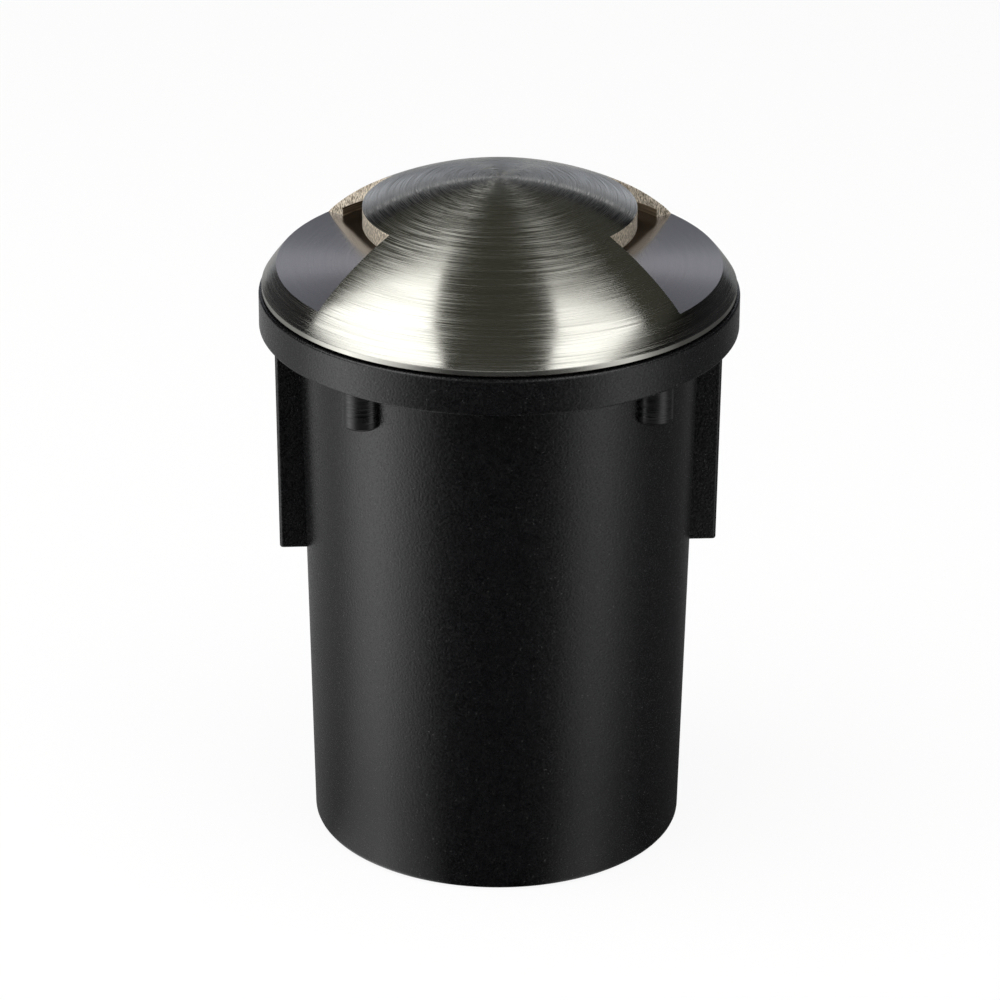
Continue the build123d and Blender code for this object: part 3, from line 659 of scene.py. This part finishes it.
edge = dome.modifiers.new("edge", "BEVEL")
edge.width = edge_width * MM
edge.segments = 2
edge.limit_method = "ANGLE"
edge.angle_limit = radians(edge_angle)
bake_modifiers(dome)
mend(dome)
smooth_by_angle(dome, 60)
dome.modifiers.new("flat faces stay flat", "WEIGHTED_NORMAL").keep_sharp = True
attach(dome, "cover")
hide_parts("dome_cover")
print("dome with edges:", len(dome.data.polygons), "faces")

# %% [markdown]
# ## The pot
# The pot is one moulding: a slightly tapered tube with a broad flange, two fins that stop it turning in
# the soil, and four screw bosses under the flange. The tube is turned with its small edge radii in the
# profile, the fins and bosses are joined on as real volumes, and then the inside and the screw holes
# are cut out.

# %% Sizes of the pot
pot_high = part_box("body_pot")[1] / MM
flange_radius = pot_high.x
pot_top = pot_high.z
flange_height = 8.6
flange_underside = pot_top - flange_height
flange_edge = 0.6
base_radius, neck_radius = 43.25, 45.9
pot_wall = 3.4
base_edge = 1.6
groove_depth = 2.0
groove_floor = pot_top - groove_depth
groove_inner, groove_outer = 49.1, 52.3
boss_radius, boss_chamfer = 4.4, 0.7
boss_drop = 11.0
boss_bottom = flange_underside - boss_drop
counterbore, counterbore_depth = 2.9, 5.0
clearance_hole = 1.7
fin_length = 55.0
fin_bottom = flange_underside - fin_length
fin_half_thickness = 2.0
fin_bottom_reach, fin_top_reach = 51.0, 51.6
fin_edge, fin_foot_edge = 0.8, 0.4
print("pot:", round(2 * flange_radius, 1), "mm flange,", round(pot_top, 1), "mm high")

# %% Turn the pot and join its bosses
pot_line = [(0, 0), *corner_points((base_radius - base_edge, base_edge), base_edge, -90, 0, 6)]
pot_line += [(neck_radius, flange_underside)]
flange_inset = flange_radius - flange_edge
pot_line += corner_points((flange_inset, flange_underside + flange_edge), flange_edge, -90, 0)
pot_line += corner_points((flange_inset, pot_top - flange_edge), flange_edge, 0, 90)
pot_line += [(groove_outer, pot_top), (groove_outer, groove_floor)]
pot_line += [(groove_inner, groove_floor), (groove_inner, pot_top), (0, pot_top)]
bm, rings = bmesh.new(), {}
turn_band(bm, rings, pot_line)
pot = new_piece("moulded_pot", bm, pot_plastic)

boss_line = [(boss_radius - boss_chamfer, boss_bottom), (boss_radius, boss_bottom + boss_chamfer)]
boss_line += [(boss_radius, flange_underside + overlap)]
bm = bmesh.new()
add_rods(bm, boss_places, boss_line, sides=96)
carve(pot, new_piece("bosses", bm, boss_plastic), "UNION")
print("pot with bosses:", len(pot.data.polygons), "faces")

# %% Join the fins
def add_fin(bm, heading_deg):
    """An upright plate standing out of the pot, with rounded edges and a rounded foot."""
    turn = Matrix.Rotation(radians(heading_deg), 3, "Z")
    root = base_radius - pot_wall / 2
    turns = (0, pi / 4, pi / 2)
    foot_levels = [(fin_foot_edge * (1 - sin(t)), fin_foot_edge * (1 - cos(t))) for t in turns]
    levels = [(fin_bottom + rise, inset) for inset, rise in foot_levels]
    levels += [(flange_underside + overlap, 0)]
    loops = []
    for height, inset in levels:
        share = (height - fin_bottom) / (flange_underside - fin_bottom)
        reach = fin_bottom_reach + share * (fin_top_reach - fin_bottom_reach) - inset
        half = fin_half_thickness - inset
        outline = corner_points((reach - fin_edge, half - fin_edge), fin_edge, 0, 90)
        outline += [(root, half), (root, -half)]
        outline += corner_points((reach - fin_edge, fin_edge - half), fin_edge, -90, 0)
        loops.append([bm.verts.new(turn @ Vector((x, y, height)) * MM) for x, y in outline])
    stack_loops(bm, loops)


bm = bmesh.new()
for heading in (pot_turn, 180 + pot_turn):
    add_fin(bm, heading)
carve(pot, new_piece("fins", bm, pot_plastic), "UNION")
print("pot with fins:", len(pot.data.polygons), "faces")

# %% Hollow the pot and drill its holes
core_line = [(0, -overlap), (base_radius - pot_wall, -overlap), (base_radius - pot_wall, 0)]
core_line += [(neck_radius - pot_wall, flange_underside), (neck_radius - pot_wall, pot_top + overlap)]
core_line += [(0, pot_top + overlap)]
bm, rings = bmesh.new(), {}
turn_band(bm, rings, core_line)
carve(pot, new_piece("core", bm, pot_plastic), "DIFFERENCE")
counterbore_top = boss_bottom + counterbore_depth
bm = bmesh.new()
add_rods(bm, boss_places, [(counterbore, boss_bottom - overlap), (counterbore, counterbore_top)])
carve(pot, new_piece("counterbores", bm, boss_plastic), "DIFFERENCE")
bm = bmesh.new()
hole_line = [(clearance_hole, counterbore_top - overlap), (clearance_hole, pot_top + overlap)]
add_rods(bm, boss_places, hole_line)
carve(pot, new_piece("screw_holes", bm, boss_plastic), "DIFFERENCE")
mend(pot)
smooth_by_angle(pot, 35)
pot.modifiers.new("flat faces stay flat", "WEIGHTED_NORMAL").keep_sharp = True
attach(pot, "pot")
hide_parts("body_pot")
print("pot hollowed:", len(pot.data.polygons), "faces")

# %% [markdown]
# ## The gasket
# A rubber ring lies in the flange's groove and carries the cover. It is moulded, so its corners are
# round, and a low bead along the middle of its top seals first. Like the shells, it is turned from its
# profile.

# %% Turn the gasket
gasket_low, gasket_high = (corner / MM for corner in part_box("cover_gasket"))
gasket_outer = gasket_high.x
gasket_width = 3.0
gasket_inner = gasket_outer - gasket_width
gasket_edge = 0.4
bead_half, bead_rise = 0.6, 0.15
gasket_middle = (gasket_inner + gasket_outer) / 2
shelf = gasket_high.z - bead_rise
inner_turn, outer_turn = gasket_inner + gasket_edge, gasket_outer - gasket_edge
low_turn, high_turn = gasket_low.z + gasket_edge, shelf - gasket_edge
gasket_line = corner_points((inner_turn, low_turn), gasket_edge, 180, 270)
gasket_line += corner_points((outer_turn, low_turn), gasket_edge, 270, 360)
gasket_line += corner_points((outer_turn, high_turn), gasket_edge, 0, 90)
gasket_line += [(gasket_middle + bead_half, shelf), (gasket_middle, gasket_high.z)]
gasket_line += [(gasket_middle - bead_half, shelf)]
gasket_line += corner_points((inner_turn, high_turn), gasket_edge, 90, 180)
bm, rings = bmesh.new(), {}
turn_band(bm, rings, gasket_line + gasket_line[:1])
gasket = new_piece("moulded_gasket", bm, slot_materials["black_rubber"])
smooth_by_angle(gasket, 40)
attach(gasket, "pot")
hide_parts("cover_gasket")
print("gasket:", len(gasket.data.polygons), "faces")

# %% [markdown]
# ## Screws
# The CAD screws are plain pins with heads. Here each gets a chamfered head with its drive, and a
# threaded shank. A screw is a stack of loops: most are circles, the drive's loops follow a hexagon, a
# cross or a slot, and the thread is a row of ridges. A true helix would look the same at this size and
# be harder to close.

# %% Screw helper
# Keeps a reach finite where it runs along an edge.
SMALLEST_SINE = 0.01


def hexagon(half_width):
    """Reach of a hexagon socket at an angle."""
    return lambda t: half_width / cos((t + pi / 6) % (pi / 3) - pi / 6)


def cross(reach, half_width):
    """Reach of a cross recess at an angle."""
    def edge(t):
        off = abs((t + pi / 4) % (pi / 2) - pi / 4)
        return min(reach, half_width / max(sin(off), SMALLEST_SINE))
    return edge


def slot_drive(reach, half_width):
    """Reach of a straight slot at an angle."""
    return lambda t: min(reach, half_width / max(abs(sin(t)), SMALLEST_SINE))


def make_screws(node, places, body, head, shank, drive, way, pitch=0.7):
    """Screws in place of a CAD node, with head (radius, height) and shank radius. Way is +1 where the shank
    points up and -1 where it points down."""
    low, high = (corner.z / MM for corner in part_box(node))
    start, end = (low, high) if way > 0 else (high, low)
    head_radius, head_height = head
    chamfer, recess = 0.3, 0.9
    # Shares of the pitch: depth of the thread, start and end of its crest, and what stays plain at the tip.
    depth, crest_start, crest_end, plain = 0.3, 0.4, 0.55, 1.5
    tip_share = 0.6
    tip = tip_share * shank
    root = shank - depth * pitch
    heights = [(drive, recess), (drive, 0), (head_radius - chamfer, 0), (head_radius, chamfer)]
    heights += [(head_radius, head_height), (root, head_height)]
    ridges = int((abs(end - start) - head_height - plain * pitch) / pitch)
    for ridge in range(ridges):
        foot = head_height + (ridge + 0.5) * pitch
        heights += [(root, foot), (shank, foot + crest_start * pitch), (shank, foot + crest_end * pitch)]
    heights += [(root, head_height + (ridges + 0.5) * pitch), (tip, abs(end - start))]
    bm = bmesh.new()
    add_rods(bm, places, [(radius, start + way * height) for radius, height in heights], sides=36)
    screws = new_piece(f"threaded_{node}", bm, slot_materials[slot_of[node]])
    smooth_by_angle(screws, 30)
    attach(screws, body)
    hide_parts(node)
    print(node, "->", len(places), "screws with", ridges, "ridges each")


# %% Make the screws
make_screws("cover_screws", boss_places, "pot", (2.5, 2.0), 1.5, hexagon(1.25), 1)
make_screws("clamp_ring_screws", post_places, "cover", (2.2, 1.6), 1.25, cross(1.2, 0.3), 1)
holder_places = [(0, -13), (0, 13)]
bracket_places = [(0, -29.5), (0, 29.5)]
fixing_places = [(0, -5), (0, 5)]
clamp_places = [(0, -10), (0, 0), (0, 10)]
make_screws("lampholder_screws", holder_places, "pot", (2.7, 2.2), 1.5, cross(1.5, 0.35), -1)
make_screws("bracket_screws", bracket_places, "pot", (2.8, 2.2), 1.5, cross(1.5, 0.35), -1)
make_screws("terminal_fixing_screws", fixing_places, "pot", (2.1, 1.6), 1.2, cross(1.2, 0.3), -1)
make_screws("terminal_screws", clamp_places, "pot", (1.5, 1.0), 1.5, slot_drive(1.3, 0.25), -1)

# %% [markdown]
# ## The lamp's front
# Through the glass one sees the lamp: seven small light sources on a white board, each under its own
# round lens of one clear moulding. The lens plate is a polar grid whose height follows the nearest of
# the seven bulges, and a light source is a square package with a yellow drop of phosphor on it.

# %% Mould the lens plate
lens_low, lens_high = (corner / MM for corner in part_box("lamp_lens"))
lens_radius = lens_high.x
source_circle, source_turn = 13.5, 30
source_places = [(0, 0)] + polar_places(source_circle, 6, source_turn)
bulge_radius, bulge_rise = 6.2, 1.5
plate_rim = 1.6


def lens_height(x, y):
    """Height of the lens plate's front at a place."""
    if lens_radius - sqrt(x * x + y * y) < plate_rim:
        return lens_high.z
    away = min(sqrt((x - u) ** 2 + (y - v) ** 2) for u, v in source_places)
    return lens_high.z - bulge_rise * min(1, (away / bulge_radius) ** 2)


lens_rings, lens_steps = 46, 144
lens_turns = [2 * pi * i / lens_steps for i in range(lens_steps)]
bm = bmesh.new()
loops = []
for k in range(1, lens_rings + 1):
    reach = lens_radius * k / lens_rings
    spots = [(reach * cos(t), reach * sin(t)) for t in lens_turns]
    loops.append([bm.verts.new(Vector((x, y, lens_height(x, y))) * MM) for x, y in spots])
back = [(lens_radius * cos(t), lens_radius * sin(t), lens_low.z) for t in lens_turns]
loops.append([bm.verts.new(Vector(spot) * MM) for spot in back])
stack_loops(bm, loops)
lens_plate = new_piece("lens_plate", bm, slot_materials["lamp_lens_plastic"])
smooth_by_angle(lens_plate, 40)
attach(lens_plate, "lamp")
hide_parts("lamp_lens")
print("lens plate:", len(lens_plate.data.polygons), "faces")

# %% Set the light sources on the board
# Phosphor in silicone is a soft glossy drop, deep yellow while the lamp is off.
phosphor = grained_material(
    "phosphor silicone, yellow", "E3B93C", "F0CF62", 0.2, (0.3, 0.45), 0.01, {"IOR": 1.41}
)
board_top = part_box("lamp_board")[1].z / MM
package_half, package_height = 1.7, 0.5
drop_radius, drop_height = 1.25, 0.4


def square(half_width):
    """Reach of a square at an angle."""
    return lambda t: half_width / cos((t + pi / 4) % (pi / 2) - pi / 4)


bm = bmesh.new()
package_top = board_top + package_height
package_line = [(square(package_half), board_top), (square(package_half), package_top)]
add_rods(bm, source_places, package_line, sides=32)
drop_start = len(bm.faces)
drop_turns = (0, 0.3, 0.6, 0.9, 1.2, 1.45)
drop_line = [(drop_radius * cos(t), package_top + drop_height * sin(t)) for t in drop_turns]
add_rods(bm, source_places, drop_line, sides=32)
for face in list(bm.faces)[drop_start:]:
    face.material_index = 1
sources = new_piece("light_sources", bm, slot_materials["white_board"], phosphor)
smooth_by_angle(sources, 40)
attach(sources, "lamp")
print("light sources:", len(source_places))

# %% [markdown]
# ## Floor and background
# The part stands on a plain white floor. The floor is white to the camera and to mirror-like surfaces
# through the Light Path node, and keeps a share of its own shading, so that the light's soft shadow
# stays on it. The world is white at the horizon and dark above, because dark surroundings give a
# polished dome its contrast.

# %% Floor and world
def set_stops(ramp, stops):
    """Give a colour ramp its (place, sRGB hex) stops."""
    while len(ramp.elements) < len(stops):
        ramp.elements.new(0.5)
    for element, (place, colour) in zip(ramp.elements, stops):
        element.position = place
        element.color = to_linear(colour)


glow_share = 0.9
floor_material, tree, surface = new_material("studio paper, white")
path = add_node(tree, "ShaderNodeLightPath")
seen = path.outputs["Is Camera Ray"]
for ray in ("Is Glossy Ray", "Is Transmission Ray"):
    seen = add_node(tree, "ShaderNodeMath", {0: seen, 1: path.outputs[ray]}, operation="MAXIMUM")
share = add_node(tree, "ShaderNodeMath", {0: seen, 1: glow_share}, operation="MULTIPLY")
connect(surface, {"Base Color": to_linear("F4F4F4"), "Roughness": 0.9, "Specular IOR Level": 0.0})
glow = add_node(tree, "ShaderNodeEmission", {"Color": to_linear("FFFFFF"), "Strength": 1.0})
paper = add_node(tree, "ShaderNodeMixShader", {"Fac": share, 1: surface, 2: glow})
connect(tree.nodes["Material Output"], {"Surface": paper})

bm = bmesh.new()
floor_half = 30
bmesh.ops.create_grid(bm, x_segments=1, y_segments=1, size=floor_half)
floor = new_piece("floor", bm, floor_material)

world = bpy.data.worlds.new("studio")
bpy.context.scene.world = world
world.use_nodes = True
tree = world.node_tree
look = add_node(tree, "ShaderNodeTexCoord").outputs["Generated"]
climb = add_node(tree, "ShaderNodeSeparateXYZ", {"Vector": look}).outputs["Z"]
sky = add_node(tree, "ShaderNodeValToRGB", {"Fac": climb})
set_stops(sky.color_ramp, [
    (0.0, "FFFFFF"), (0.06, "FFFFFF"), (0.1, "A2A1A6"), (0.42, "A2A1A6"), (0.5, "46463F"),
    (1.0, "42423A"),
])
connect(tree.nodes["Background"], {"Color": sky, "Strength": 1.0})
print("floor and world ready")

# %% [markdown]
# ## Lamps
# Two level softboxes hang over the part with a gap between them. The gap is the dark wedge at the
# dome's front, and the boxes are the bright wedges beside it. A third large lamp high above only lights
# dull surfaces, so that colours come out about as they are written without a third image in the steel.

# %% Hang the lamps
def hang_softbox(name, centre, size, radiance, yaw_deg=0.0):
    """A level rectangular lamp that faces down and has a given brightness all over."""
    light = bpy.data.lights.new(name, "AREA")
    light.shape = "RECTANGLE"
    light.size, light.size_y = size
    light.energy = radiance * pi * size[0] * size[1]
    lamp = bpy.data.objects.new(name, light)
    lamp.location = centre
    lamp.rotation_euler.z = radians(yaw_deg)
    lamp.visible_camera = False
    bpy.context.scene.collection.objects.link(lamp)
    return lamp


# Each box has its side, then its inner, outer, front and back edge as multiples of its height above the
# dome, and then its brightness.
box_height = 0.7
box_level = dome_apex * MM + box_height
box_yaw = 12.6
boxes = {
    "left": (-1, 0.352, 2.6, -1.4, 0.18, 2.4),
    "right": (1, 0.295, 1.06, -2.1, -0.08, 2.1),
}
for name, (side, inner, outer, front, back, radiance) in boxes.items():
    turn = Matrix.Rotation(radians(side * box_yaw), 3, "Z")
    middle = Vector((side * (outer + inner) / 2, (front + back) / 2, 0)) * box_height
    size = ((outer - inner) * box_height, (back - front) * box_height)
    centre = turn @ middle + Vector((0, 0, box_level))
    hang_softbox(f"box_{name}", centre, size, radiance, side * box_yaw)
fill_place, fill_size, fill_radiance = (0, -0.3, 1.8), (1.8, 1.8), 2.2
fill = hang_softbox("fill", fill_place, fill_size, fill_radiance)
fill.visible_glossy = False
print("lamps:", ", ".join(boxes), "and fill")

# %% [markdown]
# ## Reflectors
# What a shiny surface shows is what stands around it. The pot's upright wall mirrors the floor, and the
# dome's shoulder and window floors mirror the studio's walls. So a mat on the floor and a round wall
# glow by heading. The mat is bright to the left and right of the pot, and darker near the pot, a
# painted shadow of the pot that fades further away. The wall is bright at the front left and front
# right, which carries the dome's wedges on to the rim, and grey behind, with a narrow strip that gives
# the window floors their gradient. Only mirror rays see these reflectors.

# %% Mat, wall and strip
def reflector_material(name, levels, measure, stops, strength):
    """A glow that follows the heading, in degrees from the front, and the height or distance in metres."""
    material, tree, surface = new_material(name)
    tree.nodes.remove(surface)
    point = add_node(tree, "ShaderNodeTexCoord").outputs["Object"]
    place = add_node(tree, "ShaderNodeSeparateXYZ", {"Vector": point})
    nearer = add_node(tree, "ShaderNodeMath", {0: place.outputs["Y"], 1: -1.0}, operation="MULTIPLY")
    heading = add_node(tree, "ShaderNodeMath", {0: place.outputs["X"], 1: nearer}, operation="ARCTAN2")
    turn = add_node(tree, "ShaderNodeMapRange", {"Value": heading, "From Min": -pi, "From Max": pi})
    level = add_node(tree, "ShaderNodeValToRGB", {"Fac": turn})
    set_stops(level.color_ramp, [((angle + 180) / 360, colour) for angle, colour in levels])
    distance = add_node(tree, "ShaderNodeVectorMath", {0: point}, operation="LENGTH").outputs["Value"]
    measured = {"height": place.outputs["Z"], "distance": distance}[measure]
    climb = add_node(tree, "ShaderNodeValToRGB", {"Fac": measured})
    set_stops(climb.color_ramp, stops)
    lit = add_node(tree, "ShaderNodeVectorMath", {0: level, 1: climb}, operation="MULTIPLY")
    glow = add_node(tree, "ShaderNodeEmission", {"Color": lit, "Strength": strength})
    connect(tree.nodes["Material Output"], {"Surface": glow})
    return material


mat_levels = [
    (-180, "808080"), (-160, "707070"), (-140, "686868"), (-105, "707070"), (-90, "C8C8C8"),
    (-76, "F4F4F4"), (-60, "C0C0C0"), (-36, "303030"), (-18, "0C0C0C"), (20, "0C0C0C"),
    (36, "404040"), (52, "9C9C9C"), (64, "AEAEAE"), (78, "747474"), (95, "3A3A3A"),
    (130, "343434"), (160, "505050"), (180, "808080"),
]
# The mat darkens towards the pot: a painted shadow of the pot.
mat_painted_shadow = [(0.06, "B8B8B8"), (0.1, "D0D0D0"), (0.19, "EAEAEA"), (0.26, "F8F8F8"), (0.32, "FFFFFF")]
wall_levels = [
    (-180, "7D8088"), (-172, "868991"), (-164, "979AA1"), (-158, "8C8F97"), (-148, "2C2C2E"),
    (-86, "202022"), (-74, "F0F0F0"), (-46, "F0F0F0"), (-32, "929292"), (30, "929292"),
    (44, "F0F0F0"), (64, "F0F0F0"), (76, "141416"), (148, "202022"), (158, "8C8F97"),
    (164, "979AA1"), (172, "868991"), (180, "7D8088"),
]
wall_heights = [
    (0.0, "B8B8B8"), (0.3, "FFFFFF"), (0.5, "E0E0E0"), (0.62, "ACACAC"), (0.7, "9C9C9C"),
    (0.78, "888888"), (0.84, "505050"), (1.0, "303030"),
]
strip_levels = [
    (-180, "D8D8DE"), (-164, "D8D8DE"), (-146, "202022"), (146, "202022"), (164, "D8D8DE"),
    (180, "D8D8DE"),
]
even = [(0.0, "FFFFFF"), (1.0, "FFFFFF")]


def add_screen(name, material, radius, bottom, top):
    """A round upright screen about the part."""
    bm = bmesh.new()
    middle = Matrix.Translation((0, 0, (bottom + top) / 2))
    bmesh.ops.create_cone(
        bm, cap_ends=False, segments=96, radius1=radius, radius2=radius, depth=top - bottom, matrix=middle
    )
    return new_piece(name, bm, material)


# Sizes in metres. The mat's middle lies under the pot's front, because that is the side the photo
# shows.
wall_radius, wall_top = 1.5, 1.1
strip_radius, strip_bottom, strip_top = 1.49, 0.685, 0.775
mat_lift = 0.0002
mat_shift = 0.6 * neck_radius * MM
mat_strength, wall_strength, strip_strength = 2.5, 2.0, 0.78
mat_material = reflector_material("reflector mat", mat_levels, "distance", mat_painted_shadow, mat_strength)
wall_material = reflector_material("reflector wall", wall_levels, "height", wall_heights, wall_strength)
strip_material = reflector_material("reflector strip", strip_levels, "height", even, strip_strength)
bm = bmesh.new()
bmesh.ops.create_circle(bm, cap_ends=True, segments=96, radius=wall_radius)
mat = new_piece("reflector_mat", bm, mat_material)
mat.location = (0, -mat_shift, mat_lift)
wall = add_screen("reflector_wall", wall_material, wall_radius, 0, wall_top)
strip = add_screen("reflector_strip", strip_material, strip_radius, strip_bottom, strip_top)
for reflector in (mat, wall, strip):
    for ray in ("camera", "diffuse", "transmission", "shadow", "volume_scatter"):
        setattr(reflector, f"visible_{ray}", False)
print("reflectors ready")

# %% [markdown]
# ## Finish
# The picture keeps Blender's Standard view transform. The dressed part has to stay inside
# the CAD model's box.

# %% Set the view transform
bpy.context.scene.view_settings.view_transform = "Standard"
